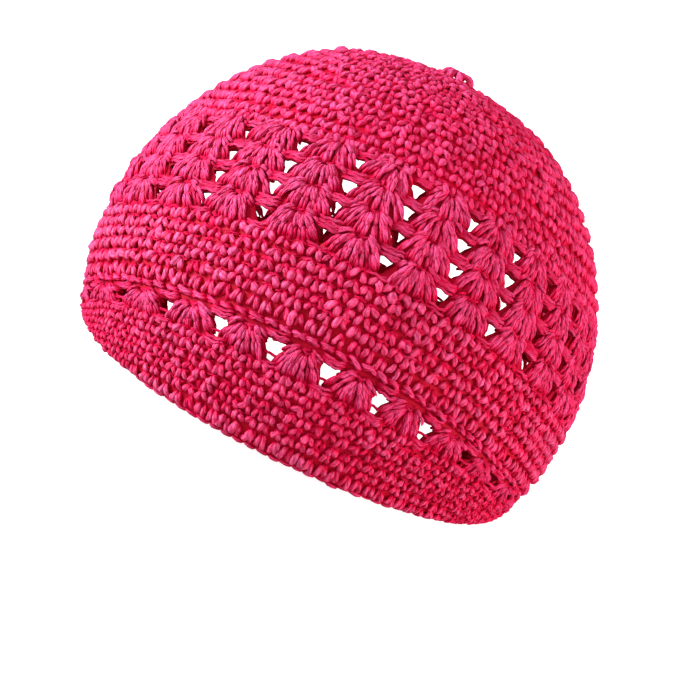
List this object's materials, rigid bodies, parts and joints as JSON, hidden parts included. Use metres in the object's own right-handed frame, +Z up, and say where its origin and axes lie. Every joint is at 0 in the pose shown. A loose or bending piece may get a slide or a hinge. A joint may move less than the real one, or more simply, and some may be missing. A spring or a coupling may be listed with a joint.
{
  "type": "crocheted hat",
  "caption": "Domed crocheted cotton hat with a band of open lace fans, a braided ridge and a laced brim turned under at the sides.",
  "frame": {"origin": "on the surface that the hat stands on, under the middle of the dome", "axes": "+Z up from the surface to the crown, -Y to the front of the hat, +X to the right seen from the front"},
  "size_m": [0.1963, 0.1968, 0.1462],
  "materials": {
    "cotton_yarn": "matte mercerised cotton yarn, raspberry pink, crocheted"
  },
  "bodies": {
    "root": {"crown": "cotton_yarn", "crown_knot": "cotton_yarn", "lace_band": "cotton_yarn", "side_band": "cotton_yarn", "ridge_braid": "cotton_yarn", "brim_lace": "cotton_yarn", "brim": "cotton_yarn", "brim_edge": "cotton_yarn"}
  },
  "joints": []
}
